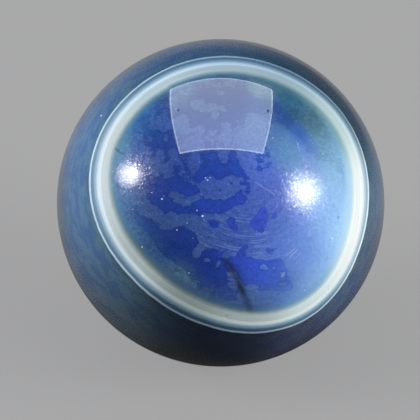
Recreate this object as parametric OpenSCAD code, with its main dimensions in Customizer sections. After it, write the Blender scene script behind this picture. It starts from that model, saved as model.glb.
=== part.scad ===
/* [Ball] */
// Diameter of the polished ball
ball_d = 45; // [20:0.5:120]

/* [Eye] */
// Turn of the eye's axis to the right of the ball's front
eye_yaw = 8.5; // [-45:0.5:45]
// Tilt of the eye's axis above the horizontal
eye_pitch = 35.5; // [-45:0.5:80]
// Angle at the ball's middle from the eye's axis to its outermost layer
eye_half_angle = 55.5; // [40:0.5:80]
// Share of the ball's radius at which the layers' growth point lies
growth_share = 0.7; // [0.4:0.05:0.9]

/* [Layers] */
// Width of the fine white layer round the eye, over the ball's surface
line_w = 0.3; // [0.15:0.05:0.6]
// Width of the clear teal layer inside the fine white one
gap_w = 0.9; // [0.4:0.1:1.6]
// Width of the bright white layer
white_w = 1.1; // [0.4:0.1:2]
// Width of the cream layer
cream_w = 1.8; // [0.8:0.1:3]
// Width of the green edge round the blue middle
edge_w = 0.5; // [0.2:0.1:1.5]

/* [Pit] */
// Diameter of the small round pit in the cream layer
pit_d = 0.7; // [0.3:0.1:1.5]
// Depth of the pit
pit_depth = 0.06; // [0.02:0.02:0.12]
// Place of the pit round the eye, anticlockwise from its right
pit_turn = 261; // [0:1:359]

/* [Hidden] */
$fn = 128;

ball_r = ball_d / 2;
growth_depth = ball_r * growth_share;
// Distance over the surface from the middle of the eye to each layer's outer edge
line_edge = ball_r * eye_half_angle * PI / 180;
gap_edge = line_edge - line_w;
white_edge = gap_edge - gap_w;
cream_edge = white_edge - white_w;
green_edge = cream_edge - cream_w;
middle_edge = green_edge - edge_w;

// Angle at the ball's middle that a distance over the surface spans
function span_angle(arc) = arc / ball_r * 180 / PI;

// Radius of the growth shell that meets the surface at a distance from the middle of the eye
function shell_radius(arc) =
    sqrt(ball_r ^ 2 + growth_depth ^ 2 - 2 * ball_r * growth_depth * cos(span_angle(arc)));

// Radius of the round cutter that leaves a pit of a given width and depth
function cutter_radius(width, depth) = (width ^ 2 / 4 + depth ^ 2) / (2 * depth);

// Turns the up axis onto the eye's axis, which faces the front
module on_eye_axis() {
    rotate([0, 0, eye_yaw])
        rotate([90 - eye_pitch, 0, 0])
            children();
}

// Everything that had grown when the shell met the surface at this distance
module grown_to(arc) {
    translate([0, 0, growth_depth])
        sphere(r = shell_radius(arc));
}

// The part of the ball between two growth shells
module layer(outer_arc, inner_arc) {
    difference() {
        intersection() {
            sphere(r = ball_r);
            grown_to(outer_arc);
        }
        grown_to(inner_arc);
    }
}

// Blue-grey stone outside the eye
module outer_stone() {
    difference() {
        sphere(r = ball_r);
        grown_to(line_edge);
    }
}

// Deep blue stone in the middle of the eye
module eye_middle() {
    intersection() {
        sphere(r = ball_r);
        grown_to(middle_edge);
    }
}

// Round tool at the surface in the middle of the cream layer
module pit_cutter() {
    radius = cutter_radius(pit_d, pit_depth);
    place = span_angle((cream_edge + green_edge) / 2);
    rotate([0, 0, pit_turn])
        rotate([0, place, 0])
            translate([0, 0, ball_r - pit_depth + radius])
                sphere(r = radius);
}

module agate_sphere() {
    on_eye_axis()
        difference() {
            union() {
                color("slategray") outer_stone();
                color("white") layer(line_edge, gap_edge);
                color("cadetblue") layer(gap_edge, white_edge);
                color("aliceblue") layer(white_edge, cream_edge);
                color("beige") layer(cream_edge, green_edge);
                color("seagreen") layer(green_edge, middle_edge);
                color("mediumblue") eye_middle();
            }
            pit_cutter();
        }
}

agate_sphere();
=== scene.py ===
"""A polished ball of blue eye agate, dressed and lit for a studio picture.

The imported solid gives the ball's place and size. A finer shell stands for it, with the polish's faint waves,
its pits and nicks, and one procedural stone finish colours the shell layer by layer from the fine white layer
inwards. Lengths are in metres unless a name ends in _mm or _px, and angles are in degrees unless it ends in
_rad. Colours are linear, and places in pixels are those of the picture that the camera takes.
"""

import logging
import math
from dataclasses import dataclass
from enum import Enum

import bpy
import numpy as np
from numpy.typing import NDArray
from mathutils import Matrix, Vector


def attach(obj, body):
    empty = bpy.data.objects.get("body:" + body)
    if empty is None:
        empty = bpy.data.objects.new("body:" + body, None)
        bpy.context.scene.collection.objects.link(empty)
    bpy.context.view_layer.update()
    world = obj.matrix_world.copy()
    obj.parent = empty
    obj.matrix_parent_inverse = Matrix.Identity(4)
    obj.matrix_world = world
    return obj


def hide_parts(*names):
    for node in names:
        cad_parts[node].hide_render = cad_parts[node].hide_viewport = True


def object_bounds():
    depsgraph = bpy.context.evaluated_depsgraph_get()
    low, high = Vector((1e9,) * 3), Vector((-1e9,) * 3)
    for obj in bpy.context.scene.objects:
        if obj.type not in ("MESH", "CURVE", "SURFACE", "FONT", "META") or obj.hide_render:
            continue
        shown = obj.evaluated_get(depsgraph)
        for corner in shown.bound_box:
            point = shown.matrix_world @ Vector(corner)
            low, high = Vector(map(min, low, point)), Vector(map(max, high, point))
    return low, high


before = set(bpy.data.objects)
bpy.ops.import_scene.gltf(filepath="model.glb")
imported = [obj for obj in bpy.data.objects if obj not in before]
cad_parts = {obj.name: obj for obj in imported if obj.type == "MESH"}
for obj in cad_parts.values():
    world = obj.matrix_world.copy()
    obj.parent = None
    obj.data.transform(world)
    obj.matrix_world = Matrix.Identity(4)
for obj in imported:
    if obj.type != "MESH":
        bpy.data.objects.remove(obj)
CAD_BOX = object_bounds()

LOG = logging.getLogger("agate")
Array = NDArray[np.float64]
Pixel = tuple[float, float]
Rgb = tuple[float, float, float]
FadeSteps = tuple[float, ...]
Socket = bpy.types.NodeSocket
MM = 0.001
BALL_RADIUS = 0.0225
AXES = ((1.0, 0.0, 0.0), (0.0, 1.0, 0.0), (0.0, 0.0, 1.0))
PLAIN = (1.0, 1.0, 1.0)
HALVES = (0.5, 0.5, 0.5)
NODE = "agate_sphere"
BODY = "root"


def unit(vectors: Array) -> Array:
    """Vectors scaled to length one along their last axis."""
    return vectors / np.linalg.norm(vectors, axis=-1, keepdims=True)


def compass(yaw: float, pitch: float) -> Array:
    """Direction turned by yaw from the front, -Y, towards +X, and lifted by pitch above the horizontal."""
    turn, lift = math.radians(yaw), math.radians(pitch)
    return np.array([math.sin(turn) * math.cos(lift), -math.cos(turn) * math.cos(lift), math.sin(lift)])


def smooth_step(value: Array, low: float, high: float) -> Array:
    """0 below low, 1 above high, and 3t^2 - 2t^3 of the share t between them."""
    share = np.clip((value - low) / (high - low), 0.0, 1.0)
    return share * share * (3.0 - 2.0 * share)


@dataclass(frozen=True)
class PhotoView:
    """The picture's camera, and where each pixel of its square frame falls on the ball."""

    ball_radius: float
    frame_px: float = 420.0
    ball_px: Pixel = (220.6, 202.8)
    ball_radius_px: float = 163.9
    distance: float = 0.45
    elevation: float = 30.0
    sensor_mm: float = 36.0
    seen_from: float = 0.01
    seen_to: float = 20.0

    @property
    def back(self) -> Array:
        """Direction from the ball to the camera."""
        return compass(0.0, self.elevation)

    @property
    def right(self) -> Array:
        """Direction of the picture's right side."""
        return np.array([1.0, 0.0, 0.0])

    @property
    def up(self) -> Array:
        """Direction of the picture's top side."""
        return np.cross(self.back, self.right)

    @property
    def focal_px(self) -> float:
        """Focal length in pixels at which the ball's outline has its size in the picture."""
        tangent = math.sqrt(self.distance ** 2 - self.ball_radius ** 2)
        return self.ball_radius_px * tangent / self.ball_radius

    @property
    def location(self) -> Array:
        """Place of the camera, moved sideways so that the ball sits off the picture's middle.

        Returns:
            The place in metres.
        """
        metres_per_px = self.distance / self.focal_px
        across = (self.ball_px[0] - self.frame_px / 2) * metres_per_px
        upward = (self.frame_px / 2 - self.ball_px[1]) * metres_per_px
        return self.back * self.distance - self.right * across - self.up * upward

    def to_ball(self, pixels: Array) -> Array:
        """Directions from the ball's middle to what the pixels show of its surface.

        A ray leaves the camera through each pixel, and meets the sphere at the nearer root of the
        quadratic |camera + t ray| = radius.

        Args:
            pixels: Pixel coordinates, with x and y on the last axis.

        Returns:
            Unit vectors, in the same arrangement.
        """
        shift = (np.asarray(pixels, float) - self.frame_px / 2) / self.focal_px
        ray = unit(shift[..., :1] * self.right - shift[..., 1:2] * self.up - self.back)
        along = ray @ self.location
        miss = self.location @ self.location - self.ball_radius ** 2
        reach = -along - np.sqrt(np.maximum(along ** 2 - miss, 0.0))
        return unit(self.location + ray * reach[..., None])

    def mirrored(self, pixel: Pixel) -> Array:
        """Direction of the thing that the ball's polish mirrors at a pixel.

        The sight line s turns into s - 2 (s . n) n at the surface, whose normal is n.

        Args:
            pixel: Where the mirror image is seen.

        Returns:
            A unit vector away from the ball.
        """
        normal = self.to_ball(np.array(pixel))
        sight = unit(normal * self.ball_radius - self.location)
        return sight - 2.0 * (sight @ normal) * normal

    def build(self) -> None:
        """Makes the camera and gives it to the scene."""
        data = bpy.data.cameras.new("photo_view")
        data.sensor_width = self.sensor_mm
        data.lens = self.sensor_mm * self.focal_px / self.frame_px
        data.clip_start, data.clip_end = self.seen_from, self.seen_to
        camera = bpy.data.objects.new("photo_view", data)
        bpy.context.scene.collection.objects.link(camera)
        matrix = np.eye(4)
        matrix[:3] = np.column_stack([self.right, self.up, self.back, self.location])
        camera.matrix_world = matrix.T.tolist()
        bpy.context.scene.camera = camera
        LOG.info("%s: %.1f mm lens", camera.name, data.lens)


@dataclass(frozen=True)
class Wave:
    """One wave of the ring's outline round the eye: how many crests, how far out, and where one stands."""

    crests: int
    size: float
    place: float


@dataclass(frozen=True)
class Lobe:
    """One soft swelling of a value round the eye: how much, where it stands, and how wide it is."""

    size: float
    place: float
    width: float


def round_the_eye(turn_rad: Array, level: float, lobes: tuple[Lobe, ...]) -> Array:
    """The level plus size * exp(-(angle from the lobe's place / width)^2) for each lobe.

    Args:
        turn_rad: Turns round the eye's axis.
        level: The value away from every lobe.
        lobes: The swellings.

    Returns:
        The value at each turn.
    """
    value = np.full_like(turn_rad, level)
    for lobe in lobes:
        away = np.degrees(np.angle(np.exp(1j * (turn_rad - math.radians(lobe.place)))))
        value = value + lobe.size * np.exp(-(away / lobe.width) ** 2)
    return value


@dataclass(frozen=True)
class Eye:
    """The round eye in the stone: its axis, and the outline of the fine white layer that bounds it."""

    radius: float
    yaw: float = 8.5
    pitch: float = 35.5
    half_angle: float = 55.5
    waves: tuple[Wave, ...] = (Wave(2, 2.55, -43.0), Wave(3, 1.5, 46.0), Wave(4, 0.55, 25.0),
                               Wave(5, 0.3, 17.0))

    @property
    def axes(self) -> Array:
        """The eye's own directions.

        Returns:
            Three rows: its right, its up, and its axis out of the stone.
        """
        out = compass(self.yaw, self.pitch)
        right = unit(np.cross([0.0, 0.0, 1.0], out))
        return np.stack([right, np.cross(out, right), out])

    def outline(self, turn_rad: Array) -> Array:
        """Angle from the axis to the fine layer: the half angle plus a cosine for each wave.

        Args:
            turn_rad: Turns round the eye's axis.

        Returns:
            Angles in radians.
        """
        angle = np.full_like(turn_rad, self.half_angle)
        for wave in self.waves:
            angle = angle + wave.size * np.cos(wave.crests * (turn_rad - math.radians(wave.place)))
        return np.radians(angle)

    def polar(self, directions: Array) -> tuple[Array, Array]:
        """Turn round the axis, anticlockwise from the eye's right, and angle from it, both in radians."""
        local = directions @ self.axes.T
        return np.arctan2(local[..., 1], local[..., 0]), np.arccos(np.clip(local[..., 2], -1.0, 1.0))

    def depth_mm(self, directions: Array) -> Array:
        """Distance over the surface inwards from the middle of the fine layer, less than 0 outside it."""
        turn, angle = self.polar(directions)
        return (self.outline(turn) - angle) * self.radius / MM

    def plane_mm(self, directions: Array) -> Array:
        """The surface laid flat round the eye: distance from the axis over the surface, at its turn."""
        turn, angle = self.polar(directions)
        return np.stack([np.cos(turn), np.sin(turn)], -1) * (angle * self.radius / MM)[..., None]


class Veil(Enum):
    """How much of the pale veil that hangs under the polish covers a part of the blue middle."""

    CLEAR = -1.5
    THIN = -0.7
    BROKEN = -0.1
    PATCHY = 0.5
    WHOLE = 1.2


@dataclass(frozen=True)
class Patch:
    """A part of the blue middle with its own share of veil, outlined in the picture's pixels."""

    name: str
    veil: Veil
    outline_px: tuple[Pixel, ...]
    edge_mm: float = 0.28

    def rounded(self) -> Array:
        """The outline with its corners cut twice: each side keeps its points at one and three quarters.

        Returns:
            Pixels, one a row.
        """
        points = np.array(self.outline_px, float)
        for _ in range(2):
            ahead = np.roll(points, -1, axis=0)
            quarters = [0.75 * points + 0.25 * ahead, 0.25 * points + 0.75 * ahead]
            points = np.stack(quarters, 1).reshape(-1, 2)
        return points


def inside_by(places: Array, outline: Array) -> Array:
    """How far places lie inside a closed outline.

    The distance is to the nearest point of any side, and its sign comes from how many sides a level ray
    from the place crosses.

    Args:
        places: Points in the plane, one a row.
        outline: Corners of the outline, one a row.

    Returns:
        A distance for each place, less than 0 outside.
    """
    start, end = outline, np.roll(outline, -1, axis=0)
    side = end - start
    nearest = np.full(len(places), np.inf)
    crossings = np.zeros(len(places), int)
    for corner, step in zip(start, side):
        offset = places - corner
        share = np.clip(offset @ step / (step @ step), 0.0, 1.0)
        nearest = np.minimum(nearest, np.linalg.norm(offset - share[:, None] * step, axis=1))
        passes = (offset[:, 1] >= 0.0) != (offset[:, 1] >= step[1])
        level = np.where(passes, offset[:, 1] / (step[1] if step[1] else 1.0), 0.0)
        crossings += passes & (offset[:, 0] < level * step[0])
    return np.where(crossings % 2 == 1, nearest, -nearest)


@dataclass(frozen=True)
class Tone:
    """Colour of the clear stone and of the veil round one place, and how far it reaches."""

    name: str
    place_px: Pixel
    clear: Rgb
    veil: Rgb
    reach_mm: float = 3.0


@dataclass(frozen=True)
class RimTone:
    """The ring at one turn round the eye.

    The white layer has a colour. The fine white, clear and cream layers have a share of its brightness, the
    stone just inside the ring has its own colour, which at the eye's right is partly painted glow of the right
    lamp, and the cream layer turns green there by a share.
    """

    turn: float
    white: Rgb
    fine: float
    clear: float
    cream: float
    inside: Rgb
    green: float


@dataclass(frozen=True)
class OuterTone:
    """Colour of the stone outside the eye round one place."""

    place_px: Pixel
    colour: Rgb


@dataclass(frozen=True)
class Dent:
    """A round pit or nick in the polish."""

    place_px: Pixel
    width_mm: float
    depth_mm: float


@dataclass(frozen=True)
class CrackPoint:
    """One point on the healed crack's path: how wide it is there and how dark."""

    place_px: Pixel
    half_width_mm: float
    strength: float


@dataclass(frozen=True)
class StoneFields:
    """What the stone is like at each place of its surface, as values that the finish reads."""

    view: PhotoView
    eye: Eye
    patches: tuple[Patch, ...] = (
        Patch("right veil", Veil.WHOLE, (
            (246, 180), (256, 174), (268, 170), (276, 163), (270, 153), (266, 144), (267, 130), (272, 124),
            (280, 124), (288, 131), (297, 136), (302, 144), (309, 154), (318, 160), (330, 166), (344, 180),
            (352, 205), (350, 245), (336, 275), (318, 296), (290, 304), (262, 306), (238, 300), (232, 288),
            (226, 276), (228, 264), (222, 262), (214, 268), (200, 262), (190, 257), (193, 248), (200, 240),
            (194, 231), (188, 224), (196, 217), (214, 216), (226, 211), (236, 205), (247, 203)), 0.4),
        Patch("cloud", Veil.WHOLE, (
            (136, 194), (142, 191), (147, 198), (150, 204), (156, 203), (161, 209), (163, 214), (170, 213),
            (179, 214), (187, 215), (199, 216), (206, 222), (204, 236), (195, 235), (190, 229), (183, 225),
            (179, 230), (170, 231), (162, 230), (159, 225), (155, 220), (145, 217), (139, 211)), 0.6),
        Patch("speckled veil", Veil.WHOLE, (
            (198, 190), (200, 194), (207, 199), (215, 200), (223, 200), (232, 197), (237, 192), (238, 184),
            (243, 179), (240, 175), (228, 176), (223, 180), (217, 181), (213, 175), (207, 175), (206, 179),
            (201, 185)), 0.45),
        Patch("green veil", Veil.WHOLE, (
            (167, 196), (171, 190), (177, 191), (183, 197), (190, 196), (197, 193), (200, 197), (196, 202),
            (190, 204), (186, 208), (181, 206), (178, 201), (172, 199)), 0.5),
        Patch("left edge veil", Veil.WHOLE, (
            (112, 172), (121, 184), (130, 190), (136, 196), (134, 214), (137, 225), (148, 230), (157, 238),
            (158, 250), (166, 256), (177, 263), (185, 269), (188, 277), (191, 283), (198, 289), (206, 294),
            (205, 303), (185, 304), (160, 290), (138, 268), (118, 240), (106, 205)), 0.45),
        Patch("upper left deep", Veil.CLEAR, (
            (143, 128), (152, 130), (161, 132), (172, 128), (176, 140), (178, 150), (172, 152), (165, 150),
            (158, 147), (150, 146), (145, 140)), 0.4),
        Patch("upper left veil", Veil.WHOLE, (
            (151, 116), (168, 116), (173, 124), (168, 131), (161, 130), (152, 127)), 0.45),
        Patch("upper left blob", Veil.PATCHY, ((147, 139), (149, 135), (153, 137), (152, 142), (149, 142))),
        Patch("upper left blob 2", Veil.WHOLE, (
            (162, 141), (164, 136), (167, 133), (169, 138), (167, 142)), 0.45),
        Patch("left veil", Veil.WHOLE, (
            (135, 148), (141, 144), (146, 147), (150, 148), (151, 156), (152, 162), (147, 165), (140, 158),
            (136, 153)), 0.45),
        Patch("left veil 2", Veil.WHOLE, (
            (156, 151), (160, 148), (164, 152), (163, 162), (162, 170), (159, 176), (153, 175), (149, 170),
            (150, 163), (155, 158)), 0.45),
        Patch("left veil 3", Veil.WHOLE, (
            (165, 164), (168, 160), (171, 163), (172, 169), (170, 175), (167, 179), (164, 176),
            (163, 170)), 0.45),
        Patch("left gap", Veil.CLEAR, (
            (149, 178), (158, 177), (166, 180), (176, 177), (184, 184), (184, 191), (172, 190), (160, 188),
            (151, 190), (145, 186)), 0.4),
        Patch("veil by the panel", Veil.WHOLE, (
            (168, 151), (173, 148), (177, 151), (178, 156), (174, 157), (170, 155)), 0.45),
        Patch("veil by the panel 2", Veil.WHOLE, (
            (190, 156), (197, 151), (202, 155), (205, 163), (202, 168), (197, 171), (193, 168), (189, 164),
            (187, 160)), 0.45),
        Patch("small blob", Veil.WHOLE, ((171, 204), (173, 200), (176, 201), (176, 206), (173, 207)), 0.45),
        Patch("under the panel", Veil.CLEAR, (
            (178, 104), (188, 98), (200, 93), (212, 92), (226, 88), (244, 91), (256, 99), (263, 108),
            (258, 114), (248, 113), (240, 118), (232, 122), (222, 121), (216, 123), (212, 132), (206, 126),
            (190, 126), (184, 112)), 0.6),
        Patch("panel streak", Veil.PATCHY, (
            (188, 102), (200, 99), (214, 103), (226, 105), (229, 110), (224, 113), (216, 109), (208, 114),
            (200, 113), (190, 108)), 0.4),
        Patch("panel spot", Veil.WHOLE, ((211, 112), (217, 110), (220, 114), (216, 120), (210, 118))),
        Patch("panel streak 2", Veil.PATCHY, ((216, 92), (223, 90), (226, 95), (216, 97))),
        Patch("panel left veil", Veil.WHOLE, (
            (172, 123), (180, 115), (186, 115), (188, 123), (192, 132), (185, 135), (174, 133)), 0.4),
        Patch("panel left spot", Veil.WHOLE, ((193, 128), (201, 125), (206, 129), (200, 136), (195, 134))),
        Patch("panel low left veil", Veil.WHOLE, (
            (188, 137), (199, 135), (204, 142), (207, 150), (190, 152), (182, 147))),
        Patch("panel right veil", Veil.WHOLE, (
            (248, 112), (256, 113), (264, 118), (266, 135), (262, 152), (245, 150), (231, 147), (233, 138),
            (241, 131), (246, 122)), 0.5),
        Patch("panel low spot", Veil.WHOLE, ((219, 134), (228, 130), (233, 136), (230, 143), (220, 142))),
        Patch("panel middle spot", Veil.WHOLE, ((221, 123), (230, 122), (231, 128), (223, 129))),
        Patch("veil stripe", Veil.WHOLE, (
            (219, 150), (229, 150), (229, 158), (227, 166), (222, 166), (219, 160)), 0.45),
        Patch("veil stripe 2", Veil.WHOLE, (
            (237, 148), (252, 152), (256, 160), (258, 170), (250, 178), (244, 172), (240, 166),
            (236, 158)), 0.45),
        Patch("upper right band", Veil.THIN, (
            (271, 98), (279, 109), (285, 116), (293, 120), (301, 125), (306, 132), (311, 141), (319, 149),
            (323, 158), (315, 160), (308, 152), (301, 142), (296, 134), (288, 131), (283, 125),
            (271, 122)), 0.5),
        Patch("dark corner", Veil.CLEAR, (
            (146, 195), (151, 190), (158, 184), (168, 179), (173, 177), (183, 180), (186, 186), (195, 187),
            (200, 190), (196, 193), (190, 196), (184, 195), (179, 191), (170, 190), (167, 194), (170, 200),
            (179, 203), (181, 207), (190, 206), (191, 211), (185, 214), (178, 213), (170, 212), (163, 212),
            (159, 205), (150, 202)), 0.5),
        Patch("low left deep", Veil.CLEAR, (
            (136, 215), (146, 217), (156, 224), (160, 230), (170, 232), (180, 226), (190, 230), (194, 235),
            (199, 241), (197, 245), (192, 249), (192, 255), (195, 260), (200, 258), (203, 251), (208, 248),
            (215, 249), (222, 253), (224, 258), (225, 263), (230, 270), (235, 278), (240, 286), (239, 294),
            (230, 297), (219, 293), (208, 287), (198, 281), (190, 275), (187, 269), (179, 265), (170, 260),
            (163, 255), (157, 246), (152, 237), (146, 231), (141, 225), (135, 220)), 0.4),
        Patch("upper band", Veil.CLEAR, (
            (195, 178), (198, 170), (201, 164), (200, 153), (217, 152), (219, 162), (224, 166), (229, 164),
            (230, 152), (237, 154), (238, 164), (243, 171), (247, 178), (240, 176), (228, 175), (223, 178),
            (218, 181), (213, 175), (206, 174), (201, 180)), 0.45),
        Patch("wing", Veil.CLEAR, (
            (189, 206), (195, 201), (207, 199), (222, 201), (232, 198), (238, 192), (243, 194), (247, 199),
            (246, 204), (240, 203), (236, 204), (232, 208), (226, 211), (220, 214), (213, 212), (207, 213),
            (200, 210), (194, 209))),
        Patch("wing stem", Veil.THIN, ((246, 183), (251, 182), (252, 192), (248, 197), (244, 196))),
        Patch("drop", Veil.CLEAR, (
            (262, 207), (266, 208), (268, 214), (268, 221), (265, 228), (264, 233), (260, 232), (255, 230),
            (251, 226), (250, 221), (254, 217), (257, 214), (259, 210)), 0.1),
        Patch("drop's shadow", Veil.THIN, ((272, 213), (276, 212), (279, 216), (276, 221), (271, 219)), 0.3),
        Patch("soft window", Veil.THIN, (
            (208, 220), (214, 219), (220, 223), (218, 228), (211, 228), (208, 224)), 0.3),
        Patch("small window", Veil.CLEAR, (
            (228, 219), (232, 217), (235, 221), (238, 227), (238, 231), (234, 231), (230, 227), (227, 223))),
        Patch("long window", Veil.CLEAR, (
            (224, 259), (230, 257), (240, 255), (250, 257), (258, 260), (268, 260), (279, 258), (282, 259),
            (285, 266), (288, 274), (291, 282), (293, 287), (290, 291), (278, 291), (268, 290), (262, 291),
            (254, 290), (247, 288), (242, 283), (236, 273), (229, 266)), 0.1),
        Patch("arch", Veil.CLEAR, (
            (201, 255), (205, 250), (215, 249), (223, 254), (219, 256), (219, 262), (215, 267), (211, 263),
            (209, 257), (205, 256))),
        Patch("low veil", Veil.PATCHY, (
            (226, 267), (231, 271), (236, 278), (239, 287), (236, 293), (230, 291), (227, 284),
            (225, 274)), 0.5),
        Patch("hook", Veil.THIN, (
            (236, 257), (238, 250), (242, 246), (249, 244), (250, 247), (246, 251), (247, 257))),
        Patch("spot window", Veil.BROKEN, ((265, 249), (270, 246), (275, 249), (273, 255), (267, 255)), 0.3),
        Patch("island", Veil.WHOLE, ((259, 265), (263, 264), (268, 266), (269, 270), (264, 270), (260, 269))),
        Patch("island 2", Veil.PATCHY, ((270, 266), (275, 265), (277, 269), (273, 270))),
        Patch("island 3", Veil.PATCHY, ((276, 284), (280, 281), (287, 282), (287, 286), (280, 287)), 0.35),
        Patch("island 5", Veil.BROKEN, ((279, 271), (284, 270), (287, 276), (284, 280), (280, 277)), 0.35),
        Patch("island 4", Veil.WHOLE, (
            (246, 286), (250, 284), (259, 284), (259, 288), (253, 290), (247, 290))),
        Patch("crescent", Veil.WHOLE, ((201, 259), (205, 258), (210, 259), (210, 262), (204, 263)), 0.35),
        Patch("crescent 2", Veil.WHOLE, (
            (216, 264), (219, 260), (221, 259), (221, 265), (218, 269), (215, 268)), 0.35),
    )
    tones: tuple[Tone, ...] = (
        Tone("low left", (176, 250), (0.006, 0.030, 0.188), (0.028, 0.070, 0.230)),
        Tone("left", (155, 203), (0.009, 0.039, 0.240), (0.031, 0.077, 0.240)),
        Tone("middle", (215, 208), (0.014, 0.048, 0.350), (0.034, 0.084, 0.320)),
        Tone("right of the top", (258, 165), (0.024, 0.076, 0.540), (0.078, 0.150, 0.580), 1.7),
        Tone("window's end", (286, 282), (0.042, 0.105, 0.480), (0.066, 0.145, 0.500), 0.9),
        Tone("panel's far corner", (266, 89), (0.085, 0.165, 0.280), (0.100, 0.185, 0.295), 0.9),
        Tone("panel's near corner", (178, 95), (0.036, 0.086, 0.260), (0.056, 0.116, 0.290), 1.1),
        Tone("above the lamp", (311, 169), (0.115, 0.215, 0.540), (0.130, 0.235, 0.560), 1.4),
        Tone("right of the middle", (268, 220), (0.034, 0.072, 0.520), (0.056, 0.112, 0.480)),
        Tone("low right", (265, 275), (0.032, 0.085, 0.600), (0.080, 0.165, 0.560)),
        Tone("right", (305, 245), (0.115, 0.220, 0.680), (0.150, 0.285, 0.750)),
        # Right glow, right of the lamp and low right glow are partly milky stone and partly painted glow of
        # the right lamp shining through the stone.
        Tone("right glow", (343, 225), (0.400, 0.680, 0.960), (0.400, 0.680, 0.960)),
        Tone("right of the lamp", (328, 208), (0.200, 0.370, 0.800), (0.220, 0.400, 0.820), 1.6),
        Tone("low right glow", (322, 287), (0.320, 0.565, 0.880), (0.320, 0.565, 0.880)),
        Tone("bottom", (243, 306), (0.036, 0.088, 0.200), (0.050, 0.105, 0.205), 2.2),
        Tone("bottom right", (292, 300), (0.085, 0.193, 0.490), (0.100, 0.216, 0.520)),
        Tone("bottom middle", (265, 301), (0.050, 0.110, 0.340), (0.064, 0.132, 0.370), 1.6),
        Tone("left edge", (122, 203), (0.060, 0.165, 0.370), (0.074, 0.190, 0.390), 1.6),
        Tone("top", (212, 156), (0.009, 0.046, 0.310), (0.028, 0.072, 0.350)),
        Tone("upper left", (158, 132), (0.008, 0.044, 0.240), (0.026, 0.080, 0.300), 2.0),
        Tone("upper left edge", (139, 125), (0.034, 0.145, 0.430), (0.052, 0.172, 0.440), 1.5),
        Tone("left above the lamp", (125, 144), (0.110, 0.285, 0.480), (0.118, 0.300, 0.490), 1.2),
        Tone("blue above the lamp", (139, 150), (0.014, 0.052, 0.310), (0.032, 0.084, 0.320), 1.1),
        Tone("left of the top", (183, 163), (0.007, 0.035, 0.240), (0.024, 0.064, 0.265), 2.0),
        Tone("under the panel", (213, 112), (0.006, 0.030, 0.195), (0.040, 0.088, 0.245), 2.2),
        Tone("under the panel's top", (218, 95), (0.004, 0.022, 0.170), (0.024, 0.064, 0.210), 1.6),
        Tone("panel's low end", (225, 138), (0.012, 0.045, 0.290), (0.044, 0.100, 0.340), 1.8),
        Tone("panel's right", (257, 135), (0.038, 0.102, 0.330), (0.066, 0.142, 0.370), 1.7),
        Tone("low middle", (212, 273), (0.009, 0.033, 0.240), (0.040, 0.085, 0.290), 1.8),
        Tone("left of the crack", (232, 282), (0.018, 0.046, 0.220), (0.044, 0.070, 0.215), 1.1),
        Tone("light part", (285, 150), (0.080, 0.215, 0.450), (0.098, 0.245, 0.480), 1.5),
        Tone("light part's top", (275, 129), (0.045, 0.135, 0.360), (0.062, 0.162, 0.385), 1.1),
        Tone("band's high end", (275, 108), (0.007, 0.052, 0.245), (0.009, 0.060, 0.250), 1.2),
        Tone("upper band", (281, 118), (0.016, 0.072, 0.320), (0.022, 0.085, 0.330), 1.0),
        Tone("swirled", (236, 243), (0.028, 0.065, 0.410), (0.030, 0.070, 0.325), 1.8),
        Tone("speckled", (229, 182), (0.016, 0.054, 0.360), (0.050, 0.108, 0.400), 1.5),
        Tone("middle band", (300, 135), (0.024, 0.110, 0.450), (0.032, 0.126, 0.460), 0.9),
        Tone("lower band", (310, 148), (0.062, 0.175, 0.620), (0.078, 0.195, 0.630), 0.9),
        Tone("teal by the panel", (286, 97), (0.028, 0.132, 0.235), (0.034, 0.145, 0.250), 1.3),
        Tone("dark teal", (293, 111), (0.019, 0.104, 0.205), (0.030, 0.122, 0.225), 0.9),
        Tone("teal", (312, 122), (0.050, 0.142, 0.220), (0.062, 0.160, 0.240), 1.2),
        Tone("low teal", (323, 140), (0.095, 0.240, 0.330), (0.105, 0.260, 0.350), 1.1),
        Tone("below the band", (322, 153), (0.140, 0.310, 0.500), (0.155, 0.330, 0.520), 1.1),
        Tone("left edge's low end", (150, 247), (0.030, 0.090, 0.210), (0.036, 0.102, 0.215), 1.5),
        Tone("left teal", (131, 229), (0.095, 0.215, 0.385), (0.100, 0.224, 0.390), 1.2),
        Tone("under the left lamp", (138, 222), (0.014, 0.062, 0.255), (0.034, 0.088, 0.270), 1.1),
        Tone("low teal edge", (179, 277), (0.060, 0.148, 0.190), (0.074, 0.168, 0.196), 1.5),
        Tone("lowest edge", (206, 295), (0.036, 0.086, 0.190), (0.042, 0.096, 0.195), 1.3),
        # Right edge is also partly milky stone and partly painted glow of the right lamp.
        Tone("right edge", (336, 170), (0.240, 0.460, 0.720), (0.240, 0.460, 0.720)),
    )
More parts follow.
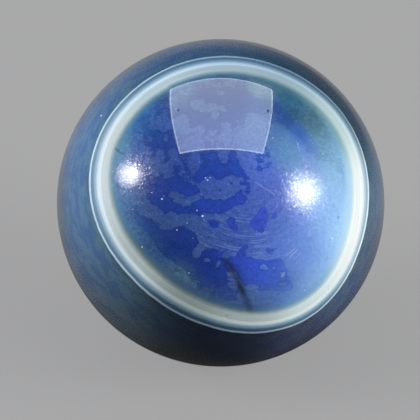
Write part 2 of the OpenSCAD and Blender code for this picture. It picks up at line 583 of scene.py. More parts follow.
    rim_tones: tuple[RimTone, ...] = (
        # At turns 300 to 0, the eye's right, the stone inside the ring and the clear layer are much lighter:
        # partly milky stone, partly painted glow of the right lamp.
        RimTone(0.0, (0.90, 0.98, 0.98), 1.0, 0.48, 0.91, (0.42, 0.66, 0.85), 0.3),
        RimTone(30.0, (0.56, 0.74, 0.77), 0.50, 0.24, 0.87, (0.16, 0.335, 0.375), 0.5),
        RimTone(60.0, (0.43, 0.61, 0.73), 0.56, 0.22, 0.74, (0.045, 0.150, 0.225), 0.4),
        RimTone(90.0, (0.54, 0.72, 0.86), 0.70, 0.23, 0.70, (0.03, 0.12, 0.23), 0.3),
        RimTone(120.0, (0.70, 0.90, 0.99), 0.74, 0.22, 0.72, (0.045, 0.17, 0.32), 0.5),
        RimTone(150.0, (0.84, 0.97, 0.99), 0.85, 0.36, 0.73, (0.10, 0.25, 0.40), 0.4),
        RimTone(180.0, (0.83, 0.96, 0.99), 0.82, 0.30, 0.74, (0.095, 0.23, 0.39), 0.9),
        RimTone(210.0, (0.71, 0.82, 0.83), 0.78, 0.25, 0.65, (0.06, 0.14, 0.22), 1.0),
        RimTone(240.0, (0.40, 0.49, 0.48), 0.46, 0.12, 0.68, (0.045, 0.10, 0.20), 1.0),
        RimTone(270.0, (0.62, 0.73, 0.74), 0.46, 0.11, 0.75, (0.045, 0.12, 0.25), 0.9),
        RimTone(300.0, (0.84, 0.99, 1.0), 0.70, 0.22, 0.83, (0.17, 0.35, 0.62), 0.4),
        RimTone(330.0, (0.94, 0.99, 0.99), 1.0, 0.51, 0.94, (0.46, 0.71, 0.90), 0.3),
    )
    rim_reach: float = 17.0
    green_tint: Rgb = (0.90, 0.93, 0.36)
    rim_tints: tuple[tuple[str, Rgb, Rgb], ...] = (
        ("fine", (0.88, 1.0, 1.10), (1.0, 1.0, 0.8)), ("clear", (0.96, 1.0, 1.02), (1.25, 1.0, 0.78)),
        ("cream", (0.99, 1.0, 0.99), (1.0, 1.0, 1.0)))
    # The outer tones low on the front, round (155, 325), (166, 352), (190, 335), (240, 350), (245, 334) and
    # (290, 340), are near black: painted shade from under the ball, laid into the stone's colour.
    outer_tones: tuple[OuterTone, ...] = (
        OuterTone((72, 190), (0.080, 0.186, 0.345)), OuterTone((80, 230), (0.104, 0.190, 0.330)),
        OuterTone((58, 205), (0.062, 0.104, 0.148)), OuterTone((370, 203), (0.112, 0.184, 0.285)),
        OuterTone((98, 308), (0.120, 0.140, 0.160)), OuterTone((84, 290), (0.155, 0.190, 0.260)),
        OuterTone((127, 328), (0.088, 0.104, 0.104)), OuterTone((306, 328), (0.085, 0.095, 0.155)),
        OuterTone((245, 334), (0.020, 0.030, 0.052)), OuterTone((363, 262), (0.140, 0.185, 0.270)),
        OuterTone((347, 287), (0.095, 0.140, 0.260)),
        OuterTone((98, 275), (0.088, 0.154, 0.252)), OuterTone((115, 300), (0.045, 0.084, 0.128)),
        # These low tones, and the one at (245, 334), are painted shade.
        OuterTone((155, 325), (0.020, 0.040, 0.066)), OuterTone((166, 352), (0.018, 0.023, 0.018)),
        OuterTone((190, 335), (0.004, 0.008, 0.020)), OuterTone((240, 350), (0.003, 0.005, 0.018)),
        OuterTone((290, 340), (0.032, 0.042, 0.100)),
        OuterTone((345, 295), (0.068, 0.105, 0.198)), OuterTone((372, 250), (0.052, 0.086, 0.128)),
        OuterTone((374, 180), (0.035, 0.098, 0.180)), OuterTone((352, 125), (0.012, 0.052, 0.100)),
        OuterTone((330, 90), (0.006, 0.036, 0.085)), OuterTone((280, 62), (0.002, 0.054, 0.122)),
        OuterTone((225, 47), (0.028, 0.090, 0.200)), OuterTone((180, 50), (0.038, 0.115, 0.262)),
        OuterTone((105, 95), (0.074, 0.169, 0.310)), OuterTone((85, 130), (0.094, 0.206, 0.410)),
    )
    outer_reach_mm: float = 3.4
    hidden_colour: Rgb = (0.045, 0.090, 0.180)
    hidden_weight: float = 0.004
    cream_step_turn: float = 117.0
    cream_step_rise: tuple[float, float] = (0.0, 1.5)
    cream_step_fall: tuple[float, float] = (25.0, 45.0)
    cream_step_mm: float = 0.2
    cream_widening_mm: tuple[float, float] = (2.0, 3.2)
    fine_drift_end_mm: tuple[float, float] = (0.25, 0.9)
    white_shift_start_mm: tuple[float, float] = (0.3, 0.9)
    white_shift_end_mm: tuple[float, float] = (1.5, 2.2)
    teal_start_mm: float = 4.3
    teal_edge: tuple[float, float] = (0.25, 1.3)
    teal_reach_mm: float = 0.9
    # The teal edge reaches furthest in at turn 345, where the inside colour that it carries is partly painted
    # glow of the right lamp.
    teal_lobes: tuple[Lobe, ...] = (Lobe(0.5, 345.0, 40.0),)
    fine_lobes: tuple[Lobe, ...] = (
        Lobe(0.10, 125.0, 60.0), Lobe(0.17, 299.0, 12.0), Lobe(-0.12, 212.0, 12.0), Lobe(0.09, 0.0, 16.0),
        Lobe(-0.06, 328.0, 12.0), Lobe(0.06, 242.0, 12.0))
    white_lobes: tuple[Lobe, ...] = (Lobe(0.26, 345.0, 44.0), Lobe(0.07, 172.0, 14.0))
    cream_lobes: tuple[Lobe, ...] = (
        Lobe(-0.20, 238.0, 26.0), Lobe(0.04, 330.0, 35.0), Lobe(0.05, 28.0, 20.0), Lobe(-0.13, 142.0, 24.0))
    swirl_px: Pixel = (250.0, 163.0)
    swirl_arc_mm: float = 8.0
    brushed_px: Pixel = (243.0, 246.0)
    brushed_mm: float = 5.2
    crack: tuple[CrackPoint, ...] = (
        CrackPoint((224.0, 259.5), 0.30, 0.55), CrackPoint((227.5, 263.5), 0.50, 0.74),
        CrackPoint((231.5, 268.5), 0.56, 0.74), CrackPoint((236.5, 276.5), 0.48, 0.66),
        CrackPoint((239.5, 284.0), 0.48, 0.84), CrackPoint((242.0, 290.5), 0.54, 0.94),
        CrackPoint((245.0, 297.5), 0.54, 0.60), CrackPoint((248.5, 304.5), 0.54, 0.56),
        CrackPoint((250.5, 311.5), 0.50, 0.44))

    def depth(self, directions: Array) -> Array:
        """Depth inwards from the fine layer, as the ring's layers see it.

        The fine layer drifts outwards with its lobes, the white layer starts further out with its own, and
        the cream layer is wider with its own. From the step's turn on the cream layer is wider still, by a
        share that fades again further round.

        Args:
            directions: Unit vectors to the shell's corners.

        Returns:
            Depths in mm.
        """
        turn, _ = self.eye.polar(directions)
        depth = self.eye.depth_mm(directions)
        past = np.degrees(turn) % 360.0 - self.cream_step_turn
        stepped = smooth_step(past, *self.cream_step_rise) * (1.0 - smooth_step(past, *self.cream_step_fall))
        drift = round_the_eye(turn, 0.0, self.fine_lobes)
        drift = drift * (1.0 - smooth_step(depth, *self.fine_drift_end_mm))
        wider = round_the_eye(turn, 0.0, self.cream_lobes) + self.cream_step_mm * stepped
        early = round_the_eye(turn, 0.0, self.white_lobes) * smooth_step(depth, *self.white_shift_start_mm)
        early = early * (1.0 - smooth_step(depth, *self.white_shift_end_mm))
        return depth + drift + early - wider * smooth_step(depth, *self.cream_widening_mm)

    def veil(self, directions: Array) -> Array:
        """Share of veil: below 0 the stone is clear, above 0 the veil covers it.

        Each patch, in order, draws the share towards its own by how far a place lies inside its soft edge.

        Args:
            directions: Unit vectors to the shell's corners.

        Returns:
            A share for each corner.
        """
        plane = self.eye.plane_mm(directions)
        share = np.full(len(directions), Veil.BROKEN.value)
        for patch in self.patches:
            outline = self.eye.plane_mm(self.view.to_ball(patch.rounded()))
            low, high = outline.min(0) - 3 * patch.edge_mm, outline.max(0) + 3 * patch.edge_mm
            near = np.nonzero(((plane > low) & (plane < high)).all(axis=1))[0]
            weight = smooth_step(inside_by(plane[near], outline), -patch.edge_mm, patch.edge_mm)
            share[near] += weight * (patch.veil.value - share[near])
            LOG.debug("%s: %d corners", patch.name, np.count_nonzero(weight))
        return share

    def closeness(self, directions: Array, places_px: list[Pixel], reaches_mm: Array | float) -> Array:
        """Power of e by which each place counts at each corner: -(chord to the place / its reach)^2 / 2.

        Args:
            directions: Unit vectors to the shell's corners.
            places_px: Where the places are seen.
            reaches_mm: How far each of them reaches.

        Returns:
            A row for each corner, with a column for each place.
        """
        centres = self.view.to_ball(np.array(places_px, float))
        chord = np.linalg.norm(directions[:, None] - centres[None], axis=-1) * self.eye.radius / MM
        return -0.5 * (chord / reaches_mm) ** 2

    def inner_colours(self, directions: Array) -> tuple[Array, Array]:
        """The tones mixed by their closeness.

        Args:
            directions: Unit vectors to the shell's corners.

        Returns:
            Colours of the clear stone and of the veil.
        """
        reaches = np.array([tone.reach_mm for tone in self.tones])
        power = self.closeness(directions, [tone.place_px for tone in self.tones], reaches)
        weight = np.exp(power - power.max(axis=1, keepdims=True))
        weight /= weight.sum(axis=1, keepdims=True)
        clear = weight @ np.array([tone.clear for tone in self.tones])
        veil = weight @ np.array([tone.veil for tone in self.tones])
        return clear, veil

    def outer_colours(self, directions: Array) -> Array:
        """The outer tones mixed by their closeness, which turn into one plain tone away from all of them.

        Args:
            directions: Unit vectors to the shell's corners.

        Returns:
            Colours of the stone outside the eye.
        """
        places = [tone.place_px for tone in self.outer_tones]
        weight = np.exp(self.closeness(directions, places, self.outer_reach_mm))
        mixed = weight @ np.array([tone.colour for tone in self.outer_tones])
        hidden = self.hidden_weight * np.array(self.hidden_colour)
        return (mixed + hidden) / (weight.sum(axis=1, keepdims=True) + self.hidden_weight)

    def teal(self, directions: Array) -> Array:
        """Share of the teal edge: 1 beside the ring, 0 past its reach, which swells with the lobes.

        Args:
            directions: Unit vectors to the shell's corners.

        Returns:
            A share for each corner.
        """
        turn, _ = self.eye.polar(directions)
        reach = round_the_eye(turn, self.teal_reach_mm, self.teal_lobes)
        inward = (self.eye.depth_mm(directions) - self.teal_start_mm) / reach
        return 1.0 - smooth_step(inward, *self.teal_edge)

    def rim_colours(self, directions: Array) -> dict[str, Array]:
        """Colours of the ring's layers and of the stone just inside them, mixed by closeness in turn.

        Each tone weighs exp(-(angle from its turn / reach)^2). A layer's colour is the white times a tint,
        times its share of brightness to a power for each of red, green and blue, as a clearer layer swallows
        more red and less blue.

        Args:
            directions: Unit vectors to the shell's corners.

        Returns:
            Colours by the name of the field that holds them.
        """
        turn, _ = self.eye.polar(directions)
        turns = np.radians([tone.turn for tone in self.rim_tones])
        away = np.degrees(np.angle(np.exp(1j * (turn[:, None] - turns)))) / self.rim_reach
        weight = np.exp(-away ** 2)
        weight /= weight.sum(axis=1, keepdims=True)
        mixed = {name: weight @ np.array([getattr(tone, name) for tone in self.rim_tones])
                 for name in ("white", "fine", "clear", "cream", "inside", "green")}
        greening = 1.0 - mixed["green"][:, None] * (1.0 - np.array(self.green_tint))
        colours = {"white_layer": mixed["white"], "inside_colour": mixed["inside"], "greening": greening}
        for name, tint, powers in self.rim_tints:
            share = mixed[name][:, None] ** np.array(powers)
            colours[f"{name}_layer"] = mixed["white"] * np.array(tint) * share
        return colours

    def swirl(self, directions: Array) -> tuple[Array, Array]:
        """The brush marks, which curve round one point and are clear near another: partly real polish marks,
        partly painted glint.

        Args:
            directions: Unit vectors to the shell's corners.

        Returns:
            Place along and across the marks, and how clear they are.
        """
        plane = self.eye.plane_mm(directions)
        places = self.view.to_ball(np.array([self.swirl_px, self.brushed_px]))
        turned_round, clearest = self.eye.plane_mm(places)
        offset = plane - turned_round
        along = np.arctan2(offset[:, 1], -offset[:, 0]) * self.swirl_arc_mm
        across = np.linalg.norm(offset, axis=1)
        away = np.linalg.norm(plane - clearest, axis=1) / self.brushed_mm
        return np.stack([along, across, np.zeros(len(plane))], -1), np.exp(-away ** 2)

    def fissure(self, directions: Array) -> Array:
        """Share of the dark healed crack.

        It is the crack's strength times exp(-(distance / half width)^2) at its nearest point.

        Args:
            directions: Unit vectors to the shell's corners.

        Returns:
            A share for each corner.
        """
        plane = self.eye.plane_mm(directions)
        path = self.eye.plane_mm(self.view.to_ball(np.array([point.place_px for point in self.crack])))
        dark = np.zeros(len(directions))
        for start, step, here, ahead in zip(path, np.diff(path, axis=0), self.crack, self.crack[1:]):
            offset = plane - start
            share = np.clip(offset @ step / (step @ step), 0.0, 1.0)
            width = here.half_width_mm + share * (ahead.half_width_mm - here.half_width_mm)
            strength = here.strength + share * (ahead.strength - here.strength)
            away = np.linalg.norm(offset - share[:, None] * step, axis=1)
            dark = np.maximum(dark, np.exp(-(away / width) ** 2) * strength)
        return dark


@dataclass(frozen=True)
class Relief:
    """The polished surface's true form: faint waves left by the lap, and dents."""

    view: PhotoView
    wave_height_mm: float = 0.0022
    wave_sink: float = 2.0
    wave_length_mm: float = 11.0
    wave_count: int = 14
    seed: int = 7
    dents: tuple[Dent, ...] = (
        Dent((226.5, 316.5), 0.7, 0.06), Dent((337.5, 217.5), 0.4, 0.03), Dent((220, 190.5), 0.36, 0.03),
        Dent((231, 183), 0.38, 0.03), Dent((101, 115.5), 0.3, 0.03), Dent((151, 192.5), 0.22, 0.02),
        Dent((283, 275), 0.3, 0.03), Dent((305, 290), 0.3, 0.03), Dent((332, 239), 0.3, 0.025),
        Dent((142, 247), 0.25, 0.02), Dent((149, 168), 0.22, 0.02), Dent((322, 288), 0.25, 0.02),
        Dent((177.4, 110.5), 0.36, 0.04), Dent((269.2, 111.3), 0.38, 0.04))
    gather: float = 0.55
    gather_mm: float = 1.1

    def gathered(self, directions: Array, radius: float) -> Array:
        """Draws the grid together round each dent.

        A place at distance r from a dent moves to r (1 - g exp(-(r / s)^2)), where g is the gather and s its
        reach, so that the squares at the dent shrink to 1 - g of their size.

        Args:
            directions: Unit vectors to the shell's corners.
            radius: Radius of the ball.

        Returns:
            Unit vectors, moved.
        """
        for dent in self.dents:
            centre = self.view.to_ball(np.array(dent.place_px))
            offset = directions - centre
            far = np.sum(offset ** 2, axis=1) * (radius / MM / self.gather_mm) ** 2
            directions = unit(centre + offset * (1.0 - self.gather * np.exp(-far))[:, None])
        return directions

    def height(self, directions: Array, radius: float) -> Array:
        """Height of the surface above the true ball.

        The waves are a sum of sines of k . p with random directions k, and lie below the true ball by the
        sink, in wave heights. Each dent is -depth * exp(-(2 r / width)^4), a flat-bottomed round pit.

        Args:
            directions: Unit vectors to the shell's corners.
            radius: Radius of the ball.

        Returns:
            Heights in metres.
        """
        random = np.random.default_rng(self.seed)
        crests = 2 * np.pi * radius / MM / self.wave_length_mm
        vectors = unit(random.normal(size=(self.wave_count, 3))) * crests
        phases = random.uniform(0.0, 2 * np.pi, self.wave_count)
        waves = np.sin(directions @ vectors.T + phases).sum(axis=1) / math.sqrt(self.wave_count)
        height = (waves - self.wave_sink) * self.wave_height_mm
        for dent in self.dents:
            centre = self.view.to_ball(np.array(dent.place_px))
            far = np.linalg.norm(directions - centre, axis=1) * radius / MM
            height = height - dent.depth_mm * np.exp(-(2.0 * far / dent.width_mm) ** 4)
        return height * MM


@dataclass(frozen=True)
class CubeGrid:
    """A ball's grid of six square patches, each with its own square of the finish map."""

    count: int = 128
    density: float = 0.35
    margin: float = 0.006
    map_columns: int = 3
    map_rows: int = 2
    digits: int = 7

    def build(self) -> tuple[Array, NDArray[np.int64], Array]:
        """Makes the grid round +Z.

        Each patch is a grid of angles u and v from -45 to 45 degrees. Its directions are (tan u, tan v, 1)
        scaled to length one and turned to the patch's own side. Then the angle a from +Z becomes
        a - k sin a, so that squares near +Z shrink to 1 - k of their size.

        Returns:
            Unit vectors with none repeated, the four corners of each face seen from outside, and each
            face corner's place in the finish map.
        """
        steps = np.linspace(-np.pi / 4, np.pi / 4, self.count + 1)
        across, upward = np.meshgrid(np.tan(steps), np.tan(steps), indexing="ij")
        patch = np.stack([across, upward, np.ones_like(across)], -1).reshape(-1, 3)
        turns = (((1, 0, 0), (0, 1, 0), (0, 0, 1)), ((1, 0, 0), (0, -1, 0), (0, 0, -1)),
                 ((0, 0, 1), (1, 0, 0), (0, 1, 0)), ((0, 0, -1), (1, 0, 0), (0, -1, 0)),
                 ((0, 1, 0), (0, 0, 1), (1, 0, 0)), ((0, -1, 0), (0, 0, 1), (-1, 0, 0)))
        points = unit(np.concatenate([patch @ np.array(turn, float) for turn in turns]))
        angle = np.arccos(np.clip(points[:, 2], -1.0, 1.0))
        round_z = np.arctan2(points[:, 1], points[:, 0])
        angle = angle - self.density * np.sin(angle)
        points = np.stack([np.sin(angle) * np.cos(round_z), np.sin(angle) * np.sin(round_z),
                           np.cos(angle)], -1)
        size = self.count + 1
        index = np.arange(size ** 2).reshape(size, size)
        square = np.stack([index[:-1, :-1], index[1:, :-1], index[1:, 1:], index[:-1, 1:]], -1).reshape(-1, 4)
        shares = np.linspace(0.0, 1.0, size)
        share = np.stack(np.meshgrid(shares, shares, indexing="ij"), -1).reshape(-1, 2)[square]
        cells = np.array([(side % self.map_columns, side // self.map_columns) for side in range(6)], float)
        inset = self.margin + (1.0 - 2.0 * self.margin) * share
        finish_map = (cells[:, None, None] + inset[None]) / np.array([self.map_columns, self.map_rows])
        faces = np.concatenate([square + side * size ** 2 for side in range(6)])
        _, first, merged = np.unique(np.round(points, self.digits), axis=0, return_index=True,
                                     return_inverse=True)
        return points[first], merged.reshape(-1)[faces], finish_map.reshape(-1, 2)


@dataclass(frozen=True)
class Cloud:
    """Cloudy noise: its features for each mm, its detail and its roughness.

    The swing is how far it moves a value, and the stretch multiplies the place that it is read at.
    """

    scale: float
    detail: float
    rough: float
    swing: float = 1.0
    stretch: Rgb = PLAIN


class Graph:
    """Short ways to add nodes to a material, a lamp or a world and to join them."""

    def __init__(self, owner: bpy.types.Material | bpy.types.Light | bpy.types.World,
                 shader: str = "Principled BSDF") -> None:
        """Takes over the owner's node tree and keeps its shader.

        Args:
            owner: What the nodes dress.
            shader: Name of the shader node that its tree starts with.
        """
        owner.use_nodes = True
        self.tree = owner.node_tree
        self.shader = self.tree.nodes[shader]

    def put(self, socket: Socket, source: Socket | float | tuple) -> None:
        """Joins a source to a socket, or sets the socket's own value.

        Args:
            socket: An input.
            source: An output, or a plain value.
        """
        if isinstance(source, bpy.types.NodeSocket):
            self.tree.links.new(source, socket)
        else:
            socket.default_value = source

    def added(self, kind: str, sources: dict[str | int, Socket | float | tuple],
              **settings: str | bool) -> bpy.types.Node:
        """Adds a node.

        Args:
            kind: Blender's name of the node.
            sources: What its inputs get, by their names or numbers.
            settings: The node's own settings.

        Returns:
            The node.
        """
        node = self.tree.nodes.new(kind)
        for name, setting in settings.items():
            setattr(node, name, setting)
        for name, source in sources.items():
            self.put(node.inputs[name], source)
        return node

    def math(self, operation: str, *sources: Socket | float, clamp: bool = False) -> Socket:
        """One step of arithmetic on numbers."""
        node = self.added("ShaderNodeMath", dict(enumerate(sources)), operation=operation, use_clamp=clamp)
        return node.outputs[0]

    def vector(self, operation: str, *sources: Socket | tuple) -> Socket:
        """One step of arithmetic on vectors: a number for a distance, length or dot product."""
        node = self.added("ShaderNodeVectorMath", dict(enumerate(sources)), operation=operation)
        return node.outputs["Value" if operation in ("DISTANCE", "DOT_PRODUCT", "LENGTH") else "Vector"]

    def along(self, place: Socket, axis: int) -> Socket:
        """One coordinate of a place."""
        return self.vector("DOT_PRODUCT", place, AXES[axis])

    def between(self, share: Socket, first: Socket | float, second: Socket | float) -> Socket:
        """Two numbers mixed by a share of the second."""
        return self.added("ShaderNodeMix", {0: share, 2: first, 3: second}).outputs[0]

    def mix(self, share: Socket | float, first: Socket | Rgb, second: Socket | Rgb) -> Socket:
        """Two colours mixed by a share of the second."""
        whole = [(*colour, 1.0) if isinstance(colour, tuple) else colour for colour in (first, second)]
        return self.added("ShaderNodeMix", {0: share, 6: whole[0], 7: whole[1]}, data_type="RGBA").outputs[2]

    def noise(self, place: Socket, cloud: Cloud) -> Socket:
        """Cloudy noise from 0 to 1.

        Args:
            place: Where it is read, in mm.
            cloud: What it is like.

        Returns:
            The noise.
        """
        if cloud.stretch != PLAIN:
            place = self.vector("MULTIPLY", place, cloud.stretch)
        sources = {"Vector": place, "Scale": cloud.scale, "Detail": cloud.detail, "Roughness": cloud.rough}
        return self.added("ShaderNodeTexNoise", sources).outputs["Fac"]

    def swung(self, noise: Socket, cloud: Cloud, around: Socket | float = 1.0) -> Socket:
        """A value swung up and down by the cloud's swing, as its noise is above or below a half."""
        return self.math("MULTIPLY_ADD", self.math("SUBTRACT", noise, 0.5), cloud.swing, around)

    def cells(self, place: Socket, scale: float) -> tuple[Socket, Socket]:
        """Cells of a flat point lattice: distance to the cell's point, in cells, and its three chances."""
        node = self.added("ShaderNodeTexVoronoi", {"Vector": place, "Scale": scale}, voronoi_dimensions="2D")
        return node.outputs["Distance"], node.outputs["Color"]

    def fade(self, value: Socket, low: float, high: float, start: float = 0.0, end: float = 1.0) -> Socket:
        """A smooth step from start at low to end at high."""
        sources = {"Value": value, "From Min": low, "From Max": high, "To Min": start, "To Max": end}
        return self.added("ShaderNodeMapRange", sources, interpolation_type="SMOOTHSTEP").outputs["Result"]

    def ramp(self, value: Socket, stops: tuple[tuple[float, float], ...]) -> Socket:
        """A number that changes with a value, in straight steps between stops.

        Args:
            value: The value.
            stops: Values in rising order, each with its number.

        Returns:
            The number.
        """
        low, high = stops[0][0], stops[-1][0]
        share = self.math("DIVIDE", self.math("SUBTRACT", value, low), high - low)
        node = self.added("ShaderNodeValToRGB", {"Fac": share})
        elements = node.color_ramp.elements
        while len(elements) < len(stops):
            elements.new(0.5)
        for element, (place, number) in zip(elements, stops):
            element.position = (place - low) / (high - low)
            element.color = (number,) * 4
        return node.outputs["Alpha"]

    def laid(self, under: Socket, over: Socket, cover: Socket, powers: Rgb) -> Socket:
        """One colour laid on another.

        Args:
            under: The colour below.
            over: The colour on top.
            cover: How much of the colour below is covered.
            powers: Powers of the cover for red, green and blue.

        Returns:
            The colour that is seen.
        """
        if powers == PLAIN:
            return self.mix(cover, under, over)
        shares = self.added("ShaderNodeCombineXYZ",
                            {place: self.math("POWER", cover, power) for place, power in enumerate(powers)})
        step = self.vector("MULTIPLY", self.vector("SUBTRACT", over, under), shares.outputs[0])
        return self.vector("ADD", under, step)

    def scaled(self, colour: Socket | tuple, level: Socket | float) -> Socket:
        """A colour made brighter or darker."""
        node = self.added("ShaderNodeVectorMath", {0: colour, "Scale": level}, operation="SCALE")
        return node.outputs["Vector"]

    def bump(self, height: Socket, depth_mm: float) -> Socket:
        """The surface's normal, tilted as a height from 0 to 1 of a given depth would tilt it."""
        return self.added("ShaderNodeBump", {"Height": height, "Distance": depth_mm * MM}).outputs["Normal"]

    def field(self, name: str, output: str = "Fac") -> Socket:
        """One of the mesh's own fields: a number, or with another output of its node a colour or a place."""
        return self.added("ShaderNodeAttribute", {}, attribute_name=name).outputs[output]


@dataclass(frozen=True)
class Layer:
    """One layer of the ring: the field that holds its colour, and its cover at depths in mm.

    Red, green and blue are each covered by the cover to its own power, so that a layer can come in bluer.
    """

    field: str
    covers: tuple[tuple[float, float], ...]
    powers: Rgb = (1.0, 1.0, 1.0)


@dataclass(frozen=True)
class Speck:
    """A tiny pale or dark spot at a pixel, with its width and how strongly it shows."""

    place_px: Pixel
    width_mm: float
    strength: float


@dataclass(frozen=True)
class Scratch:
    """A hairline between two pixels and how strongly it shows."""

    start_px: Pixel
    end_px: Pixel
    strength: float


@dataclass(frozen=True)
class PolishedAgate:
    """Polished blue agate: the eye's layers, its veiled middle, the streaked outer stone and a clear polish.

    Each fade holds the values at which it starts and ends and, where they aren't 0 and 1, what it gives
    there. A fade whose name ends in _mm runs over a distance.
    """

    view: PhotoView
    eye: Eye
    layers: tuple[Layer, ...] = (
        Layer("clear_layer", ((-0.14, 0.0), (-0.04, 1.0), (2.2, 1.0), (2.3, 0.0))),
        Layer("fine_layer", ((-0.33, 0.0), (-0.24, 1.0), (0.04, 1.0), (0.14, 0.0))),
        Layer("white_layer", (
            (0.55, 0.0), (0.79, 0.15), (0.98, 0.32), (1.20, 0.40), (1.40, 0.66), (1.60, 0.90), (1.80, 1.0),
            (2.5, 1.0), (2.6, 0.0)), (1.25, 1.0, 0.78)),
        Layer("cream_layer", (
            (1.98, 0.0), (2.16, 0.60), (2.34, 1.0), (3.34, 1.0), (3.53, 0.80), (3.73, 0.58), (3.93, 0.40),
            (4.12, 0.20), (4.32, 0.08), (4.70, 0.0))))
    fissure_dark: Rgb = (0.010, 0.018, 0.050)
    teal_streak: Rgb = (1.05, 1.09, 1.03)
    deep_streak: Rgb = (0.70, 0.83, 1.00)
    beside_ring: Rgb = (1.02, 0.98, 0.80)
    speck_pale: Rgb = (0.80, 0.93, 1.0)
    # Colour of the stains and of the painted shade in the dents.
    stain_and_pit_shade_dark: Rgb = (0.008, 0.025, 0.16)
    vein_dark: Rgb = (0.008, 0.055, 0.085)
    facet_tilt: float = 0.38
    grain_tilt: float = 0.12
    # Pale colour of the brush marks, partly painted glint.
    brush_mark_and_glint: Rgb = (0.26, 0.40, 0.74)
    brush_and_glint_strength: float = 0.42
    stone_ior: float = 1.54
    stone_gloss: float = 0.12
    polish_rough: float = 0.03
    grain_rough: tuple[float, float] = (0.26, 0.13)
    grain_bump_mm: float = 0.012
    coarse_veil: Cloud = Cloud(0.5, 2.0, 0.55, 3.0)
    fine_veil: Cloud = Cloud(1.1, 4.0, 0.66, 5.4, (1.0, 1.6, 1.0))
    mottling: Cloud = Cloud(1.6, 4.0, 0.75)
    brushing: Cloud = Cloud(1.0, 2.0, 0.7, stretch=(0.34, 4.4, 1.0))
    streaks: Cloud = Cloud(1.0, 3.0, 0.6, stretch=(0.36, 0.36, 0.95))
    fine_streaks: Cloud = Cloud(1.0, 2.0, 0.5, 0.2, (0.30, 0.30, 2.2))
    growth_lines: Cloud = Cloud(1.0, 2.0, 0.7, 0.56, (0.05, 0.05, 5.0))
    layer_wobble: Cloud = Cloud(0.9, 2.0, 0.5, 0.16)
    grain: Cloud = Cloud(5.0, 3.0, 0.7)
    grain_haze: Cloud = Cloud(5.0, 1.0, 0.5)
    grain_cells: float = 5.0
    facet_cells: float = 7.0
    frost_cells: float = 1.9
    streak_edge: FadeSteps = (0.43, 0.57)
    beside_ring_mm: FadeSteps = (-2.4, -0.5)
    middle_edge_mm: FadeSteps = (0.2, 1.6)
    greening_mm: FadeSteps = (3.4, 4.3)
    veil_edge: FadeSteps = (-0.42, 0.42)
    window_rim: FadeSteps = (-1.9, -0.5, 1.06, 0.86)
    mottling_by_x_mm: FadeSteps = (-3.0, 8.0, 2.0, 0.7)
    frost_spot: FadeSteps = (0.08, 0.16, 0.13, 0.0)
    frost_chance: FadeSteps = (0.45, 0.95)
    brush_edge: FadeSteps = (0.48, 0.70)
    teal_patches: FadeSteps = (0.2, 0.6, 0.6, 1.0)
    facet: FadeSteps = (0.06, 0.18, 1.0, 0.0)
    facets_end_mm: FadeSteps = (14.0, 18.0, 1.0, 0.0)
    spot_edge: tuple[float, float] = (0.4, 1.1)
    vein_reach_mm: float = 0.28
    scratch_reach_mm: float = 0.08
    specks: tuple[Speck, ...] = (
        Speck((162, 199), 0.13, 0.9), Speck((164, 196), 0.10, 0.25), Speck((202.5, 216), 0.13, 1.0),
        Speck((101, 115.5), 0.17, 1.0), Speck((305, 290), 0.11, 0.6), Speck((332.5, 238.5), 0.15, 0.9),
        Speck((332, 241.5), 0.10, 0.6), Speck((142, 247), 0.12, 0.8), Speck((151, 192.5), 0.09, 0.45),
        Speck((197, 210.5), 0.10, 0.6), Speck((177, 230), 0.11, 0.7), Speck((149, 168), 0.10, 0.6),
        Speck((283, 275), 0.11, 0.6), Speck((205.5, 178), 0.10, 0.7), Speck((207.5, 180), 0.11, 0.6),
        Speck((210, 177.5), 0.08, 0.5), Speck((228, 184), 0.08, 0.4), Speck((341, 177), 0.10, 0.4),
        Speck((298, 144), 0.10, 0.6), Speck((298.8, 147), 0.08, 0.5), Speck((288, 151), 0.08, 0.4),
        Speck((273, 138), 0.10, 0.6), Speck((311, 135), 0.08, 0.4), Speck((323, 154), 0.10, 0.6),
        Speck((313, 158), 0.08, 0.4), Speck((305, 118), 0.08, 0.3), Speck((327, 188), 0.10, 0.7),
        Speck((189, 273), 0.11, 0.6), Speck((193, 238), 0.08, 0.3), Speck((187, 223), 0.09, 0.4),
        Speck((124, 191), 0.10, 0.5), Speck((133, 209.5), 0.10, 0.4), Speck((289, 240), 0.08, 0.4))
    # Four of these, at (220, 190.5), (231.5, 183.5), (338.5, 217.5) and (226.4, 315.6), sit on dents and are
    # painted shade in the pits; the other two are stains.
    stains_and_pit_shade: tuple[Speck, ...] = (Speck((220, 190.5), 0.22, 0.8), Speck((231.5, 183.5), 0.26, 0.75),
                                 Speck((180, 227), 0.16, 0.6), Speck((338.5, 217.5), 0.26, 0.4),
                                 Speck((165, 147), 0.2, 0.3), Speck((226.4, 315.6), 0.30, 0.16))
    scratches: tuple[Scratch, ...] = (
        Scratch((255, 182), (275, 195), 0.16), Scratch((270, 189), (276, 199), 0.10),
        Scratch((296.5, 141), (300, 152), 0.16), Scratch((287, 255), (296, 247.5), 0.26),
        Scratch((290, 257), (298, 249.5), 0.32), Scratch((294, 259), (301, 253), 0.16),
        Scratch((281, 277), (285, 272), 0.4), Scratch((309, 236), (309.5, 230), 0.34),
        Scratch((309.5, 230), (314, 227), 0.26), Scratch((314, 227), (318, 228), 0.14),
        Scratch((332, 246), (334, 236), 0.22))
    veins: tuple[Scratch, ...] = (
        Scratch((115.5, 148.5), (121, 153), 0.5), Scratch((121, 153), (128, 158), 0.3))

    def outer_stone(self, graph: Graph, layer_place: Socket, depth: Socket) -> Socket:
        """Blue-grey stone with soft growth streaks that follow the ring.

        The streaks are noise stretched along the ring, and run from teal to deep blue.

        Args:
            graph: The material.
            layer_place: Place along the ring, and depth from it, in mm.
            depth: Depth from the ring in mm, as its layers see it.

        Returns:
            The colour.
        """
        deep = graph.fade(graph.noise(layer_place, self.streaks), *self.streak_edge)
